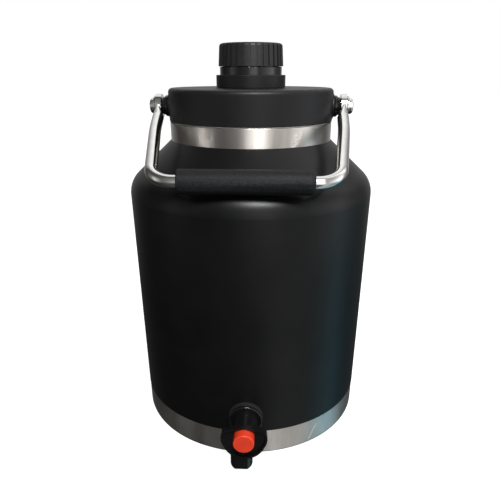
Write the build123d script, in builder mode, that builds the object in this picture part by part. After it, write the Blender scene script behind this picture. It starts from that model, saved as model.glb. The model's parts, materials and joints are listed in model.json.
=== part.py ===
from build123d import *
from math import cos, isclose, radians, sin
import os

# A five litre double-wall vacuum jug with a screw lid, a screw spout cap, a bail handle
# and a push-button tap. Millimetres, +Z up, origin at the centre of the base, and the
# tap on the front, towards -Y.

# ---- Driving dimensions --------------------------------------------------------------

# Vessel
body_radius = 95.0
sheet = 1.0                  # thickness of every stainless sheet
band_height = 22.9           # top of the bare steel base band
band_inset = 0.25            # the painted shell stands this far proud of the bare steel
foot_inner_radius = 80.0     # inside of the ring that the jug stands on
recess_height = 4.0          # depth of the recess under the base
corner_height = 200.7        # where the wall and the shoulder cone would meet
corner_fillet = 19.0
neck_foot_height = 231.0     # where the shoulder meets the neck band
neck_radius = 61.2
neck_top = 243.8
rim_drop = 2.0               # the rim plate lies this far below the neck band's top
mouth_radius = 56.2
jacket_gap = 7.5             # vacuum gap between the two walls
inner_floor_height = 14.0

# Lid
lid_radius = 61.5
lid_bottom = 244.4
lid_top = 267.0
lid_wall = 2.5
plug_bottom = 222.0
plug_radius = 54.4
plug_wall = 2.2
plug_flange_thickness = 2.4
plug_thread_lead = 8.0
plug_thread_starts = 2
collar_radius = 25.6
collar_top = 275.7

# Spout and its cap
spout_bore_radius = 18.5
spout_radius = 20.5
spout_ring_radius = 22.8
spout_ring_top = 281.1
spout_top = 292.9
cap_bottom = 281.4
cap_top = 296.3
cap_radius = 23.75
cap_top_radius = 22.9
cap_inner_radius = 22.25
cap_rib_count = 32
cap_thread_pitch = 5.0

# Handle
pivot_height = 254.2
handle_droop = 23.0          # degrees below the horizontal when it rests on the shoulder
handle_reach = 99.5          # from the pivot axis to the middle of the grip
rod_radius = 4.25
eye_radius = 8.4
eye_bore_radius = 4.6
eye_inner_x = 67.25
eye_outer_x = 71.5
grip_radius = 8.0
grip_length = 86.4
grip_shift = 0.8             # the foam has slid this far along the bar, towards +X

# Tap, whose axis runs along Y; "out" is the distance in front of the vessel's wall
tap_height = 37.6
port_radius = 11.0
gland_radius = 9.8
gland_bore_radius = 8.2
spout_out = 16.2             # the nozzle's axis
nozzle_x = -2.4              # the nozzle hangs a little to the left of the barrel
nozzle_radius = 8.4
nozzle_bottom = 5.3
nozzle_bore_radius = 5.5
button_radius = 7.6
button_front_out = 31.6
stem_radius = 2.0

# Clearances
running_gap = 0.05           # radial, between a shaft and its bore
free_gap = 0.4               # between pieces that pass each other

# ---- Helpers -------------------------------------------------------------------------


def tap_plane(out):
    """The plane across the tap's axis, `out` in front of the wall, facing the front."""
    return Plane(origin=(0, -(body_radius + out), tap_height), x_dir=(1, 0, 0), z_dir=(0, -1, 0))


def tube(plane, outer, inner, length, mode=Mode.ADD):
    """A tube, or a rod where `inner` is 0, standing on `plane`."""
    with BuildSketch(plane) as section:
        Circle(outer)
        if inner > 0:
            Circle(inner, mode=Mode.SUBTRACT)
    extrude(section.sketch, amount=length, mode=mode)


def turned(*outline, about=Plane.XZ, axis=Axis.Z, mode=Mode.ADD):
    """A closed outline drawn on `about` and revolved about `axis`."""
    with BuildSketch(about) as section:
        with BuildLine():
            Polyline(*outline, close=True)
        make_face()
    revolve(section.sketch, axis=axis, mode=mode)


def spun_sheet(outline, radii, side):
    """A line of (radius, height) points, thickened to one side and revolved about Z."""
    with BuildSketch(Plane.XZ) as section:
        with BuildLine():
            FilletPolyline(*outline, radius=radii)
            offset(amount=sheet, side=side)
        make_face()
    revolve(section.sketch, axis=Axis.Z)


def rim(part, radius, height):
    """The round edges about Z that have this radius and height."""
    circles = part.edges().filter_by(GeomType.CIRCLE)
    return circles.filter_by(
        lambda edge: isclose(edge.radius, radius, abs_tol=0.01)
        and isclose(edge.arc_center.Z, height, abs_tol=0.01)
        and isclose(edge.arc_center.X, 0, abs_tol=0.01)
    )


def thread_ridge(root_radius, depth, lead, bottom, height, starts=1):
    """Helical ridges with a trapezoid section, standing out of a cylinder about Z."""
    root_half, crest_half, sink = 1.1, 0.45, 0.3
    for start in range(starts):
        with BuildLine(Plane.XY.offset(bottom).rotated((0, 0, 360 * start / starts))) as path:
            Helix(lead, height, root_radius)
        begin = path.line @ 0
        with BuildSketch(Plane(origin=begin, x_dir=(begin.X, begin.Y, 0), z_dir=path.line % 0)) as tooth:
            with BuildLine():
                Polyline(
                    (-sink, -root_half), (0, -root_half), (depth, -crest_half),
                    (depth, crest_half), (0, root_half), (-sink, root_half), close=True,
                )
            make_face()
        sweep(tooth.sketch, path=path.line, is_frenet=True)


# ---- Vessel --------------------------------------------------------------------------

steel_radius = body_radius - band_inset
inner_radius = body_radius - jacket_gap
rim_height = neck_top - rim_drop

# Painted outer shell: straight wall, rounded corner and the shoulder cone.
with BuildPart() as outer_shell:
    spun_sheet(
        [(body_radius, band_height), (body_radius, corner_height), (neck_radius, neck_foot_height)],
        [corner_fillet], Side.LEFT,
    )
    tube(tap_plane(-2 * sheet - 1), port_radius, 0, 4 * sheet + 1, mode=Mode.SUBTRACT)

# Bare steel base cup: band, foot ring and the recessed floor inside it.
with BuildPart() as base_cup:
    spun_sheet(
        [
            (steel_radius, band_height), (steel_radius, 0), (foot_inner_radius, 0),
            (foot_inner_radius - recess_height, recess_height), (0, recess_height),
        ],
        [3.0, 1.5, 1.5], Side.RIGHT,
    )

# Drop of solder that closes the evacuation hole, under the base's centre.
with BuildPart() as vacuum_seal:
    tube(Plane.XY.offset(recess_height), 5.0, 0, -1.6)
    fillet(vacuum_seal.edges().group_by(Axis.Z)[0], 1.4)

# Bare steel neck band, with the rim plate that the lid's gasket seats on.
with BuildPart() as neck_ring:
    turned(
        (neck_radius - sheet, neck_foot_height), (neck_radius, neck_foot_height),
        (neck_radius, neck_top), (neck_radius - sheet, neck_top),
        (neck_radius - sheet, rim_height), (mouth_radius, rim_height),
        (mouth_radius, rim_height - sheet), (neck_radius - sheet, rim_height - sheet),
    )
    fillet(rim(neck_ring, neck_radius, neck_top), 0.4)

# Inner vessel, which holds the drink: a flat floor, a rolled corner, a tube and a neck, welded
# edge to edge.
inner_corner_height = corner_height - 2
inner_neck_foot = neck_foot_height - 5
corner_seam, neck_seam = inner_floor_height + 12, inner_corner_height - 7
floor_seam_radius = inner_radius - 12
with BuildPart() as inner_floor:
    tube(Plane.XY.offset(inner_floor_height), floor_seam_radius, 0, sheet)

with BuildPart() as inner_corner:
    spun_sheet(
        [
            (floor_seam_radius, inner_floor_height), (inner_radius, inner_floor_height),
            (inner_radius, corner_seam),
        ],
        [10.0], Side.LEFT,
    )

with BuildPart() as inner_wall:
    tube(Plane.XY.offset(corner_seam), inner_radius, inner_radius - sheet, neck_seam - corner_seam)
    tube(tap_plane(-jacket_gap - 2 * sheet - 1), port_radius, 0, 4 * sheet + 1, mode=Mode.SUBTRACT)

with BuildPart() as inner_neck:
    spun_sheet(
        [
            (inner_radius, neck_seam), (inner_radius, inner_corner_height),
            (mouth_radius + sheet, inner_neck_foot), (mouth_radius + sheet, rim_height - sheet),
        ],
        [14.0, 8.0], Side.LEFT,
    )

# Getter pellet that keeps the vacuum, in its capsule under the inner vessel's floor.
with BuildPart() as getter_capsule:
    tube(Plane.XY.offset(inner_floor_height), 6.0, 0, -3.0)
    fillet(getter_capsule.edges().group_by(Axis.Z)[0], 1.0)

# Short welded sleeve that carries the tap through both walls.
with BuildPart() as tap_port:
    tube(tap_plane(-jacket_gap - 4), port_radius, port_radius - sheet, jacket_gap + 8)
    Cylinder(body_radius, 4 * tap_height, mode=Mode.INTERSECT)
    Cylinder(inner_radius - sheet, 4 * tap_height, mode=Mode.SUBTRACT)

# ---- Tap -----------------------------------------------------------------------------

gasket_inner_radius = gland_radius + 0.4
gland_flange_back, gland_flange_front = 3.6, 6.2
gland_flange_radius = 12.8
gland_end_out = -20.0
inner_gasket_back = -12.0
barrel_back = -6.0
barrel_radius = 9.0
chamber_back, web_back, web_front = -6.0, 13.0, 16.0
valve_chamber_radius = 6.0
button_chamber_radius = button_radius + free_gap
shield_back, shield_front = 21.0, 25.2
shield_plate = 1.8
press_travel = 4.0

# Rubber gasket between the wall and the gland, hollowed to fit the round wall.
with BuildPart() as tap_gasket:
    tube(tap_plane(-1.5), 13.0, gasket_inner_radius, gland_flange_back + 1.5)
    Cylinder(body_radius, 4 * tap_height, mode=Mode.SUBTRACT)

# Gland: a flanged, bored bolt through the port, which the tap's barrel plugs into.
with BuildPart() as tap_gland:
    tube(tap_plane(gland_end_out), gland_radius, gland_bore_radius, gland_flange_front - gland_end_out)
    tube(tap_plane(gland_flange_back), gland_flange_radius, gland_bore_radius, gland_flange_front - gland_flange_back)
    gland_rim = tap_gland.edges().filter_by(GeomType.CIRCLE).sort_by(SortBy.RADIUS)[-2:]
    fillet(gland_rim, 0.7)

# Rubber gasket inside the vessel, shaped to the inner wall.
with BuildPart() as tap_inner_gasket:
    tube(tap_plane(inner_gasket_back), 14.0, gasket_inner_radius, 5.0)
    Cylinder(inner_radius - sheet, 4 * tap_height, mode=Mode.INTERSECT)

# Hexagonal lock nut on the gland's inner end.
with BuildPart() as tap_lock_nut:
    with BuildSketch(tap_plane(inner_gasket_back)):
        RegularPolygon(radius=15.0, side_count=6, major_radius=False)
        Circle(gland_radius, mode=Mode.SUBTRACT)
    extrude(amount=-6.0)

# Moulded tap body: barrel, finger shield and nozzle in one piece.
with BuildPart() as tap_body:
    tube(tap_plane(barrel_back), gland_bore_radius - running_gap, 0, gland_flange_front - barrel_back)
    tube(tap_plane(gland_flange_front), barrel_radius, 0, shield_back - gland_flange_front)
    # nozzle with its flattened front
    nozzle_axis = Plane(origin=(nozzle_x, -(body_radius + spout_out), nozzle_bottom))
    tube(nozzle_axis, nozzle_radius, 0, tap_height - nozzle_bottom)
    nozzle_flat = 6.9
    with BuildSketch(nozzle_axis) as facet:
        with Locations((0, -nozzle_flat - nozzle_radius / 2)):
            Rectangle(2 * nozzle_radius, nozzle_radius)
    extrude(facet.sketch, amount=tap_height - nozzle_bottom, mode=Mode.SUBTRACT)
    fillet(tap_body.edges().group_by(Axis.Z)[0], 2.2)
    # shield: a plate with a raised rim, wide at the top and closing in to the nozzle
    with BuildSketch(tap_plane(shield_back)) as shield_outline:
        with BuildLine():
            ThreePointArc((-15.9, 5.2), (0, 8.9), (15.9, 5.2))
            flank = ThreePointArc((15.9, 5.2), (17.0, 0.8), (14.8, -8.2))
            mirror(flank, about=Plane.YZ)
            foot = ThreePointArc((14.8, -8.2), (8.8, -16.2), (0, -19.2))
            mirror(foot, about=Plane.YZ)
        make_face()
    extrude(shield_outline.sketch, amount=shield_front - shield_back)
    with BuildSketch(tap_plane(shield_back + shield_plate)) as shield_dish:
        add(shield_outline.sketch_local)
        offset(amount=-1.5, kind=Kind.ARC)
    extrude(shield_dish.sketch, amount=shield_front, mode=Mode.SUBTRACT)
    # the chambers, and the way down from the valve to the nozzle
    tube(tap_plane(chamber_back), valve_chamber_radius, 0, web_back - chamber_back, mode=Mode.SUBTRACT)
    tube(tap_plane(web_back), stem_radius + running_gap, 0, web_front - web_back, mode=Mode.SUBTRACT)
    tube(tap_plane(web_front), button_chamber_radius, 0, shield_front, mode=Mode.SUBTRACT)
    seal_groove_radius, seal_groove_depth = 3.8, 1.7
    tube(tap_plane(web_front), seal_groove_radius, 0, -seal_groove_depth, mode=Mode.SUBTRACT)
    drop_height, well_radius, well_overlap = 21.5, 4.0, 4.0
    well_out = web_back - well_radius - 0.3
    tube(nozzle_axis, nozzle_bore_radius, 0, drop_height, mode=Mode.SUBTRACT)
    well_bottom = nozzle_bottom + drop_height - well_overlap
    well = Plane(origin=(0, -(body_radius + well_out), well_bottom))
    tube(well, well_radius, 0, tap_height - well_bottom, mode=Mode.SUBTRACT)

# Valve stem with the disc that closes the barrel's inner end.
disc_back, disc_front = -8.05, -7.05
with BuildPart() as tap_stem:
    tube(tap_plane(disc_front), stem_radius, 0, button_front_out - 2.0 - disc_front)
    tube(tap_plane(disc_back), 7.0, 0, disc_front - disc_back)

# Rubber washer on the disc.
with BuildPart() as tap_valve_seal:
    tube(tap_plane(disc_front), 7.0, stem_radius, 1.0)

# O-ring that keeps the stem from weeping.
seal_minor_radius = 0.8
with BuildPart() as tap_stem_seal:
    seal_axis_out = web_front - seal_groove_depth / 2
    with Locations(tap_plane(seal_axis_out)):
        Torus(stem_radius + seal_minor_radius + running_gap, seal_minor_radius)

# Push button: a cup over the spring, with a boss pressed on the stem.
button_wall, button_front = 1.5, 2.0
with BuildPart() as tap_button:
    button_back = web_front + press_travel + 0.3
    tube(tap_plane(button_back), button_radius, 0, button_front_out - button_back)
    front_rim = tap_button.edges().group_by(Axis.Y)[0]
    fillet(front_rim, 0.7)
    cup_depth = button_front_out - button_front - button_back
    tube(tap_plane(button_back), button_radius - button_wall, 0, cup_depth, mode=Mode.SUBTRACT)
    tube(tap_plane(button_front_out - button_front), 3.2, 0, -3.6)
    tube(tap_plane(button_back), stem_radius, 0, cup_depth, mode=Mode.SUBTRACT)

# Return spring between the web and the button.
with BuildPart() as tap_spring:
    wire_radius, coil_radius, coil_turns = 0.45, 4.6, 5
    spring_back, spring_front = web_front + 0.5, button_front_out - button_front - 0.5
    coil_length = spring_front - spring_back
    with BuildLine() as coil:
        Helix(
            coil_length / coil_turns, coil_length, coil_radius,
            center=(0, -(body_radius + spring_back), tap_height), direction=(0, -1, 0),
        )
    with BuildSketch(Plane(origin=coil.line @ 0, z_dir=coil.line % 0)):
        Circle(wire_radius)
    sweep(path=coil.line, is_frenet=True)

# ---- Handle pivots -------------------------------------------------------------------

pivot_plane = Plane(origin=(0, 0, pivot_height), x_dir=(1, 0, 0), z_dir=(0, -1, 0))
pivot_axis = Axis((0, 0, pivot_height), (1, 0, 0))
boss_root_x, boss_end_x = lid_radius - 1.7, 62.2
insert_radius, bolt_radius = 4.0, 3.0
insert_start_x = 57.5
spacer_outer_x, washer_outer_x = 72.2, 73.3
side_gap = 0.15              # between the eye and what holds it on each side
bolt_head_x = 76.7


def pivot_turned(*outline, mode=Mode.ADD):
    """An outline of (x, radius) points revolved about the handle's axis, on both sides."""
    for side in (1, -1):
        points = [(side * x, radius) for x, radius in outline]
        turned(*points, about=pivot_plane, axis=pivot_axis, mode=mode)


# Threaded inserts moulded into the lid.
with BuildPart() as pivot_inserts:
    pivot_turned(
        (insert_start_x, bolt_radius), (insert_start_x, insert_radius),
        (boss_end_x, insert_radius), (boss_end_x, bolt_radius),
    )

# Glossy stepped bushes that the handle's eyes turn on.
with BuildPart() as pivot_bushes:
    bush_radius = eye_bore_radius - running_gap
    bush_face_x = eye_inner_x - side_gap
    pivot_turned(
        (boss_end_x, bolt_radius), (boss_end_x, 7.2), (boss_end_x + 0.8, 7.6),
        (boss_end_x + 2.2, 7.4), (boss_end_x + 3.1, 6.4), (bush_face_x - 0.4, 6.1),
        (bush_face_x, 5.7), (bush_face_x, bush_radius), (eye_outer_x + side_gap, bush_radius),
        (eye_outer_x + side_gap, bolt_radius),
    )

# Thin nylon spacers outside the eyes.
with BuildPart() as pivot_spacers:
    pivot_turned(
        (eye_outer_x + side_gap, bolt_radius), (eye_outer_x + side_gap, 5.8),
        (spacer_outer_x, 5.8), (spacer_outer_x, bolt_radius),
    )

# Steel washers under the bolt heads.
with BuildPart() as pivot_washers:
    pivot_turned(
        (spacer_outer_x, bolt_radius), (spacer_outer_x, 7.0), (spacer_outer_x + 0.2, 7.2),
        (washer_outer_x - 0.2, 7.2), (washer_outer_x, 7.0), (washer_outer_x, bolt_radius),
    )

# Button-head bolts with hexagon sockets.
with BuildPart() as pivot_bolts:
    head_radius = 5.5
    pivot_turned(
        (insert_start_x + 0.3, 0), (insert_start_x + 0.3, bolt_radius),
        (washer_outer_x, bolt_radius), (washer_outer_x, head_radius),
        (bolt_head_x - 1.6, head_radius), (bolt_head_x - 0.5, head_radius - 0.7),
        (bolt_head_x, head_radius - 1.8), (bolt_head_x, 0),
    )
    for side in (1, -1):
        socket = Plane(origin=(side * bolt_head_x, 0, pivot_height), x_dir=(0, 1, 0), z_dir=(side, 0, 0))
        with BuildSketch(socket) as hexagon:
            RegularPolygon(radius=2.0, side_count=6, major_radius=False)
        extrude(hexagon.sketch, amount=-2.2, mode=Mode.SUBTRACT)

# ---- Handle --------------------------------------------------------------------------

# The handle's plane: X across, and Y from the pivots towards the grip.
handle_plane = Plane(
    origin=(0, 0, pivot_height), x_dir=(1, 0, 0),
    z_dir=(0, sin(radians(handle_droop)), -cos(radians(handle_droop))),
)
eye_x = (eye_inner_x + eye_outer_x) / 2
arm_start, arm_knee, arm_corner = (67.9, 18.0), (67.0, 36.0), (59.5, handle_reach)
knee_fillet, corner_bend = 200.0, 16.0

# Bail: one bent rod with a flattened eye at each end.
with BuildPart() as handle_bail:
    right = [arm_start, arm_knee, arm_corner]
    left = [(-x, y) for x, y in reversed(right)]
    with BuildLine(handle_plane) as bail_line:
        FilletPolyline(*right, *left, radius=[knee_fillet, corner_bend, corner_bend, knee_fillet])
    arm_end = Plane(origin=bail_line.line @ 0, x_dir=(1, 0, 0), z_dir=bail_line.line % 0)
    with BuildSketch(arm_end) as rod_section:
        Circle(rod_radius)
    sweep(rod_section.sketch, path=bail_line.line)
    # each arm flattens towards its eye
    flat_distance, flat_half_width = 7.8, 5.4
    for side, end in ((1, 0), (-1, 1)):
        flat_origin = handle_plane.from_local_coords((side * eye_x, flat_distance, 0))
        root = Plane(origin=bail_line.line @ end, x_dir=(1, 0, 0), z_dir=bail_line.line % end * side)
        with BuildSketch(Plane(origin=flat_origin, x_dir=(1, 0, 0), z_dir=handle_plane.y_dir)) as flat:
            Ellipse((eye_outer_x - eye_inner_x) / 2, flat_half_width)
        with BuildSketch(root) as round_end:
            Circle(rod_radius)
        loft([flat.sketch, round_end.sketch])
        eye_face = Plane(origin=(side * eye_inner_x, 0, pivot_height), z_dir=(side, 0, 0))
        tube(eye_face, eye_radius, 0, eye_outer_x - eye_inner_x)
        tube(eye_face, eye_bore_radius, 0, eye_outer_x - eye_inner_x, mode=Mode.SUBTRACT)

# Foam grip over the bail's bar.
with BuildPart() as handle_grip:
    grip_end = Plane(
        origin=handle_plane.from_local_coords((grip_shift - grip_length / 2, handle_reach, 0)),
        z_dir=(1, 0, 0),
    )
    tube(grip_end, grip_radius, rod_radius, grip_length)
    outer_ends = handle_grip.edges().filter_by(GeomType.CIRCLE).sort_by(SortBy.RADIUS)[-2:]
    fillet(outer_ends, 1.4)

# ---- Lid -----------------------------------------------------------------------------

spout_hole_radius = spout_radius + 0.1
flange_bottom = lid_bottom
flange_top = flange_bottom + plug_flange_thickness
lid_ceiling = lid_top - lid_wall

# Moulded lid cover, with the collar round the spout and a boss for each pivot.
with BuildPart() as lid_shell:
    turned(
        (lid_radius - lid_wall, lid_bottom), (lid_radius, lid_bottom), (lid_radius, lid_top),
        (collar_radius - 0.6, lid_top), (collar_radius - 0.6, lid_top + 0.5),
        (collar_radius, lid_top + 0.5), (collar_radius, collar_top), (spout_hole_radius, collar_top),
        (spout_hole_radius, lid_ceiling), (lid_radius - lid_wall, lid_ceiling),
    )
    fillet(rim(lid_shell, lid_radius, lid_top), 3.0)
    fillet(rim(lid_shell, collar_radius, collar_top), 0.6)
    fillet(rim(lid_shell, lid_radius, lid_bottom), 0.5)
    pivot_turned(
        (boss_root_x, 0), (boss_root_x, 9.0), (lid_radius + 0.2, 9.0),
        (boss_end_x, 8.4), (boss_end_x, 0),
    )
    pivot_turned(
        (insert_start_x, 0), (insert_start_x, insert_radius),
        (boss_end_x, insert_radius), (boss_end_x, 0), mode=Mode.SUBTRACT,
    )

# Threaded plug under the cover; its thread screws into the neck.
with BuildPart() as lid_plug:
    turned(
        (lid_radius - lid_wall - 0.2, flange_top), (lid_radius - lid_wall - 0.2, flange_bottom),
        (plug_radius, flange_bottom), (plug_radius, plug_bottom), (spout_hole_radius, plug_bottom),
        (spout_hole_radius, flange_top), (spout_hole_radius + plug_wall, flange_top),
        (spout_hole_radius + plug_wall, plug_bottom + plug_wall),
        (plug_radius - plug_wall, plug_bottom + plug_wall), (plug_radius - plug_wall, flange_top),
    )
    fillet(rim(lid_plug, plug_radius, plug_bottom), 1.5)
    thread_ridge(plug_radius, 1.5, plug_thread_lead, plug_bottom + 4.5, 11.0, plug_thread_starts)

# Insulating foam that fills the plug and the cover.
with BuildPart() as lid_foam:
    turned(
        (spout_hole_radius + plug_wall, plug_bottom + plug_wall),
        (plug_radius - plug_wall, plug_bottom + plug_wall), (plug_radius - plug_wall, flange_top),
        (insert_start_x - 0.5, flange_top), (insert_start_x - 0.5, lid_ceiling),
        (spout_hole_radius, lid_ceiling), (spout_hole_radius, flange_top),
        (spout_hole_radius + plug_wall, flange_top),
    )

# Silicone gasket between the plug's flange and the rim plate.
with BuildPart() as lid_gasket:
    gasket_bottom = rim_height + 0.1
    gasket_thickness = flange_bottom - 0.1 - gasket_bottom
    tube(Plane.XY.offset(gasket_bottom), neck_radius - sheet - 0.3, plug_radius + 0.2, gasket_thickness)
    fillet(rim(lid_gasket, neck_radius - sheet - 0.3, gasket_bottom), 0.6)

# Spout: a glossy tube through the lid, with a ring above the collar and a thread.
with BuildPart() as spout_neck:
    turned(
        (spout_bore_radius, plug_bottom), (spout_radius, plug_bottom), (spout_radius, collar_top),
        (spout_ring_radius, collar_top), (spout_ring_radius, spout_ring_top),
        (spout_radius + 0.1, spout_ring_top), (spout_radius + 0.1, spout_top),
        (spout_bore_radius, spout_top),
    )
    fillet(rim(spout_neck, spout_ring_radius, spout_ring_top), 0.5)
    fillet(rim(spout_neck, spout_radius + 0.1, spout_top), 0.5)
    thread_ridge(spout_radius + 0.1, 1.2, cap_thread_pitch, spout_ring_top + 3.0, 6.5)

# ---- Spout cap -----------------------------------------------------------------------

cap_plate = 2.0
cap_height = cap_top - cap_bottom

# Cap: a slightly tapered cup with ribs all round for grip.
with BuildPart() as cap_shell:
    turned(
        (0, cap_top), (cap_top_radius, cap_top), (cap_radius, cap_bottom),
        (cap_inner_radius, cap_bottom), (cap_inner_radius, cap_top - cap_plate),
        (0, cap_top - cap_plate),
    )
    fillet(rim(cap_shell, cap_top_radius, cap_top), 2.2)
    groove_depth, groove_width, cap_taper = 0.75, 1.7, 3.2
    middle_radius = (cap_radius + cap_top_radius) / 2
    with Locations((0, 0, (cap_top + cap_bottom) / 2)):
        with PolarLocations(middle_radius, cap_rib_count):
            Box(
                2 * groove_depth, groove_width, 2 * cap_height,
                rotation=(0, -cap_taper, 0), mode=Mode.SUBTRACT,
            )

# Soft liner disc that seals the cap on the spout's lip.
with BuildPart() as cap_gasket:
    tube(Plane.XY.offset(spout_top + 0.2), cap_inner_radius - 0.75, 0, cap_top - cap_plate - spout_top - 0.25)

# ---- Export --------------------------------------------------------------------------

os.makedirs("parts", exist_ok=True)
pieces = {
    "outer_shell": outer_shell, "base_cup": base_cup, "vacuum_seal": vacuum_seal,
    "neck_ring": neck_ring, "inner_floor": inner_floor,
    "inner_corner": inner_corner, "inner_wall": inner_wall, "inner_neck": inner_neck,
    "getter_capsule": getter_capsule,
    "tap_port": tap_port, "tap_gasket": tap_gasket, "tap_gland": tap_gland,
    "tap_inner_gasket": tap_inner_gasket, "tap_lock_nut": tap_lock_nut, "tap_body": tap_body,
    "tap_stem": tap_stem, "tap_valve_seal": tap_valve_seal, "tap_stem_seal": tap_stem_seal,
    "tap_button": tap_button, "tap_spring": tap_spring, "pivot_inserts": pivot_inserts,
    "pivot_bushes": pivot_bushes, "pivot_spacers": pivot_spacers,
    "pivot_washers": pivot_washers, "pivot_bolts": pivot_bolts,
    "handle_bail": handle_bail, "handle_grip": handle_grip, "lid_shell": lid_shell,
    "lid_plug": lid_plug, "lid_foam": lid_foam, "lid_gasket": lid_gasket,
    "spout_neck": spout_neck, "cap_shell": cap_shell, "cap_gasket": cap_gasket,
}
for name, piece in pieces.items():
    piece.part.label = name
    export_step(piece.part, f"parts/{name}.step")
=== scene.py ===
"""Looks for the insulated drink jug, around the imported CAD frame.

Every CAD node gets a procedural material. Two nodes are replaced: the grip by foam with a worn
surface, and the tap's spring by a shorter one. A floor, one light, a room and a camera follow.
"""

import json
import math

import bmesh
import bpy
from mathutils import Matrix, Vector, noise


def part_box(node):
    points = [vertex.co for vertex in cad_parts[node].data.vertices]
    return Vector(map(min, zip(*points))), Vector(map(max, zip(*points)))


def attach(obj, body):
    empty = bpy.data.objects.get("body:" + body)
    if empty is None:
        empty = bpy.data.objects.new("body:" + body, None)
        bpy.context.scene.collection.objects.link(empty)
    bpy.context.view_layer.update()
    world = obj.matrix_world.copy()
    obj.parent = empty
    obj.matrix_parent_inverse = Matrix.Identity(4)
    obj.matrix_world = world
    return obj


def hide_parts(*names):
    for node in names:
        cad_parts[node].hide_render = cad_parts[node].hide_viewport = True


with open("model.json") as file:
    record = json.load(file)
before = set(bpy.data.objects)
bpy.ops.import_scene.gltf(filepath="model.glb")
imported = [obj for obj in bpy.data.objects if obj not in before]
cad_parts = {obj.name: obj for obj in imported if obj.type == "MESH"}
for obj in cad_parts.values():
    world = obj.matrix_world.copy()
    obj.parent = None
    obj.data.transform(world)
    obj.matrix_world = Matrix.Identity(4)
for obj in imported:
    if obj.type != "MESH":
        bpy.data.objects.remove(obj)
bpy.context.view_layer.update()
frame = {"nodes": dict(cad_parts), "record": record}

# ---- Reference sizes, read from the frame --------------------------------------------------------

MM = 0.001
body_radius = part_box("outer_shell")[1].x
grip_low, grip_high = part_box("handle_grip")
spring_low, spring_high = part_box("tap_spring")


# ---- Node helpers --------------------------------------------------------------------------------


class Shader:
    """A material's node tree, with short calls for the nodes that the finishes share.

    Scales of noise are per metre, and heights of bumps are in metres, because the object's
    coordinates are metres.
    """

    def __init__(self, name):
        self.material = bpy.data.materials.new(name)
        self.material.use_nodes = True
        self.tree = self.material.node_tree
        self.surface = self.tree.nodes["Principled BSDF"]
        self.place = self.add("ShaderNodeTexCoord").outputs["Object"]

    def add(self, kind, **settings):
        node = self.tree.nodes.new(kind)
        for key, value in settings.items():
            setattr(node, key, value)
        return node

    def link(self, source, target):
        self.tree.links.new(source, target)

    def drive(self, **sources):
        """Links outputs to the shader's own sockets, which are named as in `constants`."""
        for key, source in sources.items():
            self.link(source, self.surface.inputs[key.replace("_", " ")])

    def constants(self, **values):
        """Sets the shader's own sockets; an underscore stands for a space in a socket's name."""
        for key, value in values.items():
            self.surface.inputs[key.replace("_", " ")].default_value = value

    def scaled(self, scale):
        """The object's coordinates, in metres, multiplied by `scale`."""
        mapping = self.add("ShaderNodeMapping")
        mapping.inputs["Scale"].default_value = scale
        self.link(self.place, mapping.inputs["Vector"])
        return mapping.outputs["Vector"]

    def noise(self, scale, detail=2.0, roughness=0.5):
        """Smooth noise from 0 to 1; `scale` is one number, or one for each axis."""
        node = self.add("ShaderNodeTexNoise")
        triple = scale if isinstance(scale, tuple) else (scale,) * 3
        self.link(self.scaled(triple), node.inputs["Vector"])
        node.inputs["Scale"].default_value = 1.0
        node.inputs["Detail"].default_value = detail
        node.inputs["Roughness"].default_value = roughness
        return node.outputs["Fac"]

    def ramp(self, source, *stops):
        """Maps a value through (position, value-or-colour) stops."""
        node = self.add("ShaderNodeValToRGB")
        elements = node.color_ramp.elements
        while len(elements) < len(stops):
            elements.new(0.5)
        for element, (position, value) in zip(elements, stops):
            element.position = position
            colour = value if isinstance(value, tuple) else (value,) * 3
            element.color = (*colour, 1.0)
        self.link(source, node.inputs["Fac"])
        return node.outputs["Color"]

    def math(self, operation, first, second=None):
        node = self.add("ShaderNodeMath", operation=operation)
        for socket, value in zip(node.inputs, (first, second)):
            if value is None:
                continue
            if isinstance(value, (int, float)):
                socket.default_value = value
            else:
                self.link(value, socket)
        return node.outputs["Value"]

    def blend(self, factor, first, second, mode="MIX"):
        node = self.add("ShaderNodeMix", data_type="RGBA", blend_type=mode)
        for socket, value in zip((node.inputs[0], node.inputs[6], node.inputs[7]), (factor, first, second)):
            if isinstance(value, (int, float)):
                socket.default_value = value
            elif isinstance(value, tuple):
                socket.default_value = (*value, 1.0)
            else:
                self.link(value, socket)
        return node.outputs[2]

    def bump(self, height, distance, strength=1.0, under=None):
        """Adds a bump of that real height over the bump `under` it."""
        node = self.add("ShaderNodeBump")
        node.inputs["Distance"].default_value = distance
        node.inputs["Strength"].default_value = strength
        self.link(height, node.inputs["Height"])
        if under is not None:
            self.link(under, node.inputs["Normal"])
        self.drive(Normal=node.outputs["Normal"])
        return node.outputs["Normal"]


    def line_mark(self, radius, azimuth, height, slope, length, width):
        """1 along one slightly bowed mark on a round wall about Z, and 0 away from it."""
        xyz = self.add("ShaderNodeSeparateXYZ")
        self.link(self.place, xyz.inputs["Vector"])
        angle = self.math("ARCTAN2", xyz.outputs["X"], self.math("MULTIPLY", xyz.outputs["Y"], -1.0))
        side = self.math("MULTIPLY", self.math("SUBTRACT", angle, math.radians(azimuth)), radius)
        rise = self.math("SUBTRACT", xyz.outputs["Z"], height)
        cos, sin = math.cos(math.radians(slope)), math.sin(math.radians(slope))
        along = self.math("ADD", self.math("MULTIPLY", side, cos), self.math("MULTIPLY", rise, sin))
        across = self.math("SUBTRACT", self.math("MULTIPLY", side, sin), self.math("MULTIPLY", rise, cos))
        curvature = 8.0
        bow = self.math("MULTIPLY", self.math("MULTIPLY", along, along), curvature)
        off = self.math("DIVIDE", self.math("ABSOLUTE", self.math("SUBTRACT", across, bow)), width / 2)
        out = self.math("DIVIDE", self.math("ABSOLUTE", along), length / 2)
        near = self.ramp(off, (0.2, 1.0), (1.0, 0.0))
        return self.math("MULTIPLY", near, self.ramp(out, (0.6, 1.0), (1.0, 0.0)))


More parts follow.
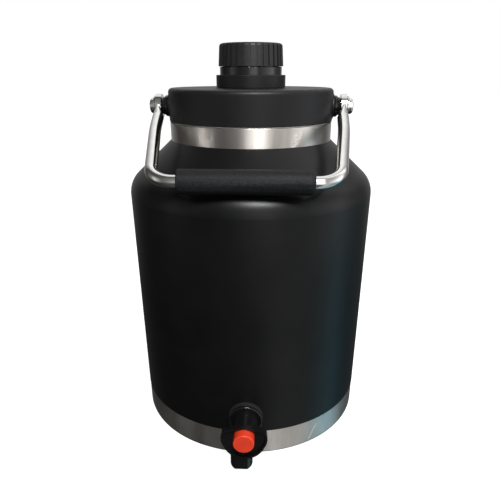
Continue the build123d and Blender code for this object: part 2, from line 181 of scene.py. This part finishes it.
# ---- Materials -----------------------------------------------------------------------------------


def times(colour, factor):
    """A colour made lighter or darker, up to full white."""
    return tuple(min(1.0, factor * channel) for channel in colour)


def powder_coat():
    """Satin black powder coat: fine orange peel, with a slight mottle in its gloss."""
    s = Shader("powder_coat")
    dark, light = (0.0030, 0.0031, 0.0032), (0.0044, 0.0045, 0.0045)
    s.drive(
        Base_Color=s.ramp(s.noise(38.0, detail=3.0), (0.35, dark), (0.7, light)),
        Roughness=s.ramp(s.noise(900.0, detail=2.0), (0.3, 0.30), (0.75, 0.36)),
    )
    peel = s.bump(s.noise(1500.0, detail=2.0), 0.012 * MM, 0.6)
    s.bump(s.noise(480.0, detail=1.0), 0.035 * MM, 0.5, under=peel)
    s.constants(Specular_IOR_Level=0.22)
    return s.material


def brushed_steel(name, tint, rough, scratched=False):
    """Steel brushed round the Z axis: fine level lines, and a broad unevenness from place to place.

    `scratched` adds the one bright scratch on the base band, right of the tap.
    """
    s = Shader(name)
    level = s.noise((60.0, 60.0, 26000.0), detail=3.0, roughness=0.7)
    coarse = s.noise((22.0, 22.0, 5200.0), detail=2.0)
    patches = s.noise((75.0, 75.0, 18.0), detail=3.0, roughness=0.6)
    base = s.ramp(patches, (0.3, times(tint, 0.80)), (0.7, tint))
    lined = s.blend(0.35, base, s.ramp(level, (0.3, times(tint, 0.62)), (0.7, tint)), "MULTIPLY")
    colour = s.blend(0.6, lined, base)
    uneven = s.math("ADD", s.math("MULTIPLY", coarse, 0.5), s.math("MULTIPLY", patches, 0.5))
    roughness = s.ramp(uneven, (0.3, rough), (0.7, 1.5 * rough))
    if scratched:
        mark = s.line_mark(
            body_radius, azimuth=34.2, height=10.5 * MM, slope=60, length=18 * MM, width=0.9 * MM,
        )
        colour = s.blend(mark, colour, (0.95, 0.95, 0.96))
        roughness = s.math("ADD", roughness, s.math("MULTIPLY", mark, 0.3))
    s.drive(Base_Color=colour, Roughness=roughness)
    s.bump(level, 0.004 * MM, 0.7)
    s.constants(Metallic=1.0, Anisotropic=0.85, Anisotropic_Rotation=0.25)
    round_z = s.add("ShaderNodeTangent", direction_type="RADIAL", axis="Z")
    s.drive(Tangent=round_z.outputs["Tangent"])
    return s.material


def polished_steel(name, tint=(0.74, 0.73, 0.71)):
    """Polished steel, with the slight waviness and faint polishing marks of a bent and buffed rod."""
    s = Shader(name)
    marks = s.noise((500.0, 3200.0, 3200.0), detail=3.0)
    s.drive(
        Base_Color=s.ramp(s.noise(160.0), (0.3, times(tint, 0.9)), (0.7, tint)),
        Roughness=s.ramp(marks, (0.35, 0.07), (0.8, 0.16)),
    )
    s.bump(s.noise(130.0, detail=1.0), 0.03 * MM, 0.5)
    s.constants(Metallic=1.0)
    return s.material


def moulded_plastic(name, colour, roughness, grain=0.015, specular=0.5):
    """Moulded plastic: a fine texture from the mould, and slight changes of gloss."""
    s = Shader(name)
    gloss = s.noise(260.0, detail=3.0)
    s.drive(
        Base_Color=s.ramp(s.noise(70.0, detail=3.0), (0.3, colour), (0.75, times(colour, 1.25))),
        Roughness=s.ramp(gloss, (0.3, roughness * 0.9), (0.75, roughness * 1.15)),
    )
    s.bump(s.noise(2600.0, detail=2.0), grain * MM, 0.6)
    s.constants(Specular_IOR_Level=specular)
    return s.material


def foam():
    """Closed-cell foam rubber: fine pores, with faint lengthwise marks where it was extruded."""
    s = Shader("grip_foam")
    marks = s.noise((14.0, 420.0, 420.0), detail=3.0)
    streaks = s.ramp(marks, (0.35, (0.0060, 0.0063, 0.0072)), (0.72, (0.018, 0.019, 0.022)))
    mottle = s.ramp(s.noise(850.0, detail=3.0, roughness=0.7), (0.36, 0.30), (0.64, 1.0))
    s.drive(Base_Color=s.blend(1.0, streaks, mottle, "MULTIPLY"))
    pores = s.add("ShaderNodeTexVoronoi", feature="F1")
    pores.inputs["Scale"].default_value = 1600.0
    s.link(s.place, pores.inputs["Vector"])
    holes = s.ramp(pores.outputs["Distance"], (0.1, 0.0), (0.5, 1.0))
    cells = s.bump(holes, 0.10 * MM, 0.5)
    s.bump(marks, 0.16 * MM, 0.6, under=cells)
    s.constants(Roughness=0.62, Specular_IOR_Level=0.18)
    return s.material


def rubber(name, colour, roughness=0.6):
    """Rubber, silicone or rigid foam: dull, with a fine irregular skin."""
    s = Shader(name)
    s.drive(
        Base_Color=s.ramp(s.noise(180.0, detail=3.0), (0.3, colour), (0.7, times(colour, 1.3))),
        Roughness=s.ramp(s.noise(600.0), (0.3, roughness * 0.9), (0.7, min(1.0, roughness * 1.1))),
    )
    s.bump(s.noise(1800.0), 0.02 * MM, 0.5)
    return s.material


materials = {
    "shell_paint": powder_coat(),
    "bare_steel": brushed_steel("brushed_band", (0.68, 0.64, 0.60), 0.25, scratched=True),
    "inner_steel": brushed_steel("spun_steel", (0.62, 0.61, 0.60), 0.26),
    "handle_steel": polished_steel("polished_rod"),
    "bolt_steel": polished_steel("polished_bolt", (0.70, 0.69, 0.67)),
    "lid_plastic": moulded_plastic("matte_lid", (0.0050, 0.0050, 0.0054), 0.44, specular=0.24),
    "cap_plastic": moulded_plastic("matte_cap", (0.0070, 0.0069, 0.0069), 0.46, specular=0.36),
    "gloss_black": moulded_plastic("gloss_black", (0.005, 0.005, 0.005), 0.12, grain=0.004),
    "tap_plastic": moulded_plastic("tap_black", (0.004, 0.004, 0.0042), 0.16, grain=0.005),
    "button_red": moulded_plastic("button_red", (0.55, 0.035, 0.012), 0.38, grain=0.008),
    "seal_rubber": rubber("seal_rubber", (0.008, 0.008, 0.008)),
    "silicone": rubber("silicone", (0.70, 0.70, 0.66), 0.45),
    "insulation": rubber("insulation", (0.72, 0.62, 0.36), 0.95),
    "spring_steel": polished_steel("spring_wire", (0.56, 0.56, 0.55)),
    "insert_brass": polished_steel("insert_brass", (0.72, 0.50, 0.20)),
}

slot_of = {part["node"]: part["material_slot"] for part in frame["record"]["subparts"]}
for node, piece in frame["nodes"].items():
    if slot_of[node] == "grip_foam":
        continue
    piece.data.materials.clear()
    piece.data.materials.append(materials[slot_of[node]])


# ---- Pieces that stand for a CAD node ------------------------------------------------------------


def grip_outline(half, radius, bore):
    """(x, radius) points along the foam from end to end: a square left end and a crowned right one."""
    square, crown, stations = 1.1 * MM, 3.2 * MM, 70
    arc = [math.radians(angle) for angle in range(0, 91, 10)]
    left = [(-half + square * (1 - math.cos(a)), radius - square * (1 - math.sin(a))) for a in arc]
    right = [(half - crown * (1 - math.cos(a)), radius - crown * (1 - math.sin(a))) for a in reversed(arc)]
    start, end = left[-1][0], right[0][0]
    middle = [(start + (end - start) * step / stations, radius) for step in range(1, stations)]
    return [(-half, bore), *left, *middle, *right, (half, bore)]


def foam_grip():
    """The foam tube over the handle's bar, with a surface that isn't quite true."""
    around, radius_outside, bore = 96, 7.85 * MM, 4.3 * MM
    waviness, waves_per_metre, end_gap = 0.1 * MM, 45, 0.1 * MM
    mesh = bmesh.new()
    rings = []
    half = (grip_high.x - grip_low.x) / 2 - end_gap
    for x, radius in grip_outline(half, radius_outside, bore):
        ring = []
        for step in range(around):
            angle = 2 * math.pi * step / around
            out = Vector((0, math.cos(angle), math.sin(angle)))
            along = Vector((x, 0, 0))
            place = (along + out * radius) * waves_per_metre
            swell = waviness * noise.noise(place) if radius > bore else 0
            ring.append(mesh.verts.new(along + out * (radius + swell)))
        rings.append(ring)
    for first, second in zip(rings, rings[1:] + rings[:1]):
        for step in range(around):
            after = (step + 1) % around
            face = mesh.faces.new((first[step], first[after], second[after], second[step]))
            face.smooth = first is not rings[-1]
    bmesh.ops.recalc_face_normals(mesh, faces=mesh.faces)
    data = bpy.data.meshes.new("handle_foam")
    mesh.to_mesh(data)
    mesh.free()
    grip = bpy.data.objects.new("handle_foam", data)
    bpy.context.scene.collection.objects.link(grip)
    grip.location = (grip_low + grip_high) / 2
    data.materials.append(foam())
    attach(grip, "handle")
    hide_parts("handle_grip")


def short_spring():
    """The tap's return spring at its pressed length, so that the button clears it at either end."""
    wire, turns, steps, travel = 0.45 * MM, 5, 24, 4 * MM
    coil = (spring_high.z - spring_low.z) / 2 - wire
    middle = (spring_low + spring_high) / 2
    back, front = spring_high.y - wire, spring_low.y + wire + travel
    data = bpy.data.curves.new("tap_coil", "CURVE")
    data.dimensions = "3D"
    data.bevel_depth = wire
    data.bevel_resolution = 4
    data.use_fill_caps = True
    spline = data.splines.new("POLY")
    spline.points.add(turns * steps)
    for step, point in enumerate(spline.points):
        angle = 2 * math.pi * step / steps
        y = back + (front - back) * step / (turns * steps)
        point.co = (middle.x + coil * math.cos(angle), y, middle.z + coil * math.sin(angle), 1)
    data.materials.append(materials["spring_steel"])
    spring = bpy.data.objects.new("tap_coil", data)
    bpy.context.scene.collection.objects.link(spring)
    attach(spring, "vessel")
    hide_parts("tap_spring")


foam_grip()
short_spring()

# ---- Floor, lights and camera ---------------------------------------------------------------------


def add_floor():
    """A plain pale floor, which takes a faint contact shadow and isn't mirrored in the steel."""
    bpy.ops.mesh.primitive_circle_add(vertices=128, radius=6.0, fill_type="NGON", location=(0, 0, 0))
    floor = bpy.context.object
    floor.name = "floor"
    s = Shader("floor")
    s.constants(Roughness=1.0, Specular_IOR_Level=0.0, Emission_Strength=0.90)
    s.surface.inputs["Base Color"].default_value = (0.42, 0.42, 0.42, 1)
    s.surface.inputs["Emission Color"].default_value = (1, 1, 1, 1)
    floor.data.materials.append(s.material)
    floor.visible_glossy = False
    floor.visible_diffuse = False


def add_light(name, azimuth, elevation, distance, size, power):
    """A softbox aimed at the jug; azimuth 0 is in front and positive is towards +X."""
    target = Vector((0, 0, 0.15))
    a, e = math.radians(azimuth), math.radians(elevation)
    direction = Vector((math.sin(a) * math.cos(e), -math.cos(a) * math.cos(e), math.sin(e)))
    data = bpy.data.lights.new(name, "AREA")
    data.shape = "RECTANGLE"
    data.size, data.size_y = size
    data.energy = power
    light = bpy.data.objects.new(name, data)
    bpy.context.scene.collection.objects.link(light)
    light.location = target + direction * distance
    light.rotation_euler = (-direction).to_track_quat("-Z", "Y").to_euler()


# Brightness of the room around the jug, as (azimuth, grey or colour), with azimuth 0 in front and
# positive towards +X: a ring at the camera's level, one below it and one above it.
ROOM_LEVEL = (
    (-180, 0.60), (-150, 0.35), (-118, 0.05), (-100, 0.12), (-85, 0.22), (-72, 0.80), (-60, 0.50),
    (-44, 0.16), (-26, 0.24), (-8, 0.45), (4, 1.60), (20, 2.00), (32, 0.45), (56, 1.0), (88, 2.00),
    (104, 0.45), (130, 0.12), (155, 0.40), (180, 0.60),
)
ROOM_LOW = (
    (-180, 0.10), (-112, 0.03), (-80, 0.03), (-64, 0.05), (-48, 0.06), (-20, 0.08), (0, 0.08), (16, 0.16),
    (32, 0.60), (48, 0.50), (64, 0.34), (80, (0.25, 0.47, 0.53)), (96, (0.28, 0.64, 0.82)),
    (110, (0.04, 0.11, 0.14)), (140, 0.06), (180, 0.10),
)
ROOM_HIGH = (
    (-180, 1.30), (-150, 1.0), (-120, 0.08), (-90, 0.08), (-60, 0.12), (0, 0.25), (60, 0.50), (95, 1.0),
    (115, 1.8), (134, 0.50), (155, 1.1), (180, 1.30),
)


def add_world():
    """White to the camera; to the jug, a room that is dark at the front left and bright at the right."""
    world = bpy.data.worlds.new("studio")
    bpy.context.scene.world = world
    world.use_nodes = True
    tree = world.node_tree

    def add(kind, inputs, **settings):
        """A node whose inputs, by index, are linked or set."""
        node = tree.nodes.new(kind)
        for key, value in settings.items():
            setattr(node, key, value)
        for index, value in inputs.items():
            if isinstance(value, bpy.types.NodeSocket):
                tree.links.new(value, node.inputs[index])
            else:
                node.inputs[index].default_value = value
        return node

    toward = add("ShaderNodeSeparateXYZ", {0: add("ShaderNodeTexCoord", {}).outputs["Generated"]})
    front = add("ShaderNodeMath", {0: toward.outputs["Y"], 1: -1.0}, operation="MULTIPLY")
    angle = add("ShaderNodeMath", {0: toward.outputs["X"], 1: front.outputs[0]}, operation="ARCTAN2")
    turn = add("ShaderNodeMapRange", {0: angle.outputs[0], 1: -math.pi, 2: math.pi})

    def mix(factor, first, second):
        return add("ShaderNodeMix", {0: factor, 6: first, 7: second}, data_type="RGBA").outputs[2]

    def ring(profile):
        """The colour of one ring of the room at the direction's azimuth."""
        node = add("ShaderNodeValToRGB", {0: turn.outputs[0]})
        elements = node.color_ramp.elements
        while len(elements) < len(profile):
            elements.new(0.5)
        for element, (azimuth, level) in zip(elements, profile):
            element.position = (azimuth + 180) / 360
            element.color = (*(level if isinstance(level, tuple) else (level,) * 3), 1.0)
        return node.outputs["Color"]

    def between(low, high, first, second):
        """Goes from `first` to `second` as the direction's height goes from `low` to `high` degrees."""
        factor = add("ShaderNodeMapRange", {
            0: toward.outputs["Z"], 1: math.sin(math.radians(low)), 2: math.sin(math.radians(high)),
        })
        return mix(factor.outputs[0], first, second)

    room = between(-22, -5, ring(ROOM_LOW), ring(ROOM_LEVEL))
    room = between(15, 40, room, ring(ROOM_HIGH))
    camera_ray = add("ShaderNodeLightPath", {}).outputs["Is Camera Ray"]
    tree.links.new(mix(camera_ray, room, (1, 1, 1, 1)), tree.nodes["Background"].inputs["Color"])


def add_camera():
    """The camera's place, in units of the body's radius, and its lens follow the reference view."""
    distance, height = 4.134 * body_radius, 2.913 * body_radius
    azimuth, pitch = math.radians(2.4), math.radians(24.75)
    data = bpy.data.cameras.new("camera")
    data.lens = 34.735
    data.sensor_width = 36.0
    data.shift_x, data.shift_y = -0.0018, 0.0914
    data.clip_start = 0.01
    camera = bpy.data.objects.new("camera", data)
    bpy.context.scene.collection.objects.link(camera)
    camera.location = (distance * math.sin(azimuth), -distance * math.cos(azimuth), height)
    camera.rotation_euler = (math.pi / 2 - pitch, 0, azimuth)
    bpy.context.scene.camera = camera


add_camera()
add_world()
add_floor()
add_light("key", 12, 47, 1.1, (0.36, 0.28), 14.5)
bpy.context.scene.view_settings.view_transform = "Standard"
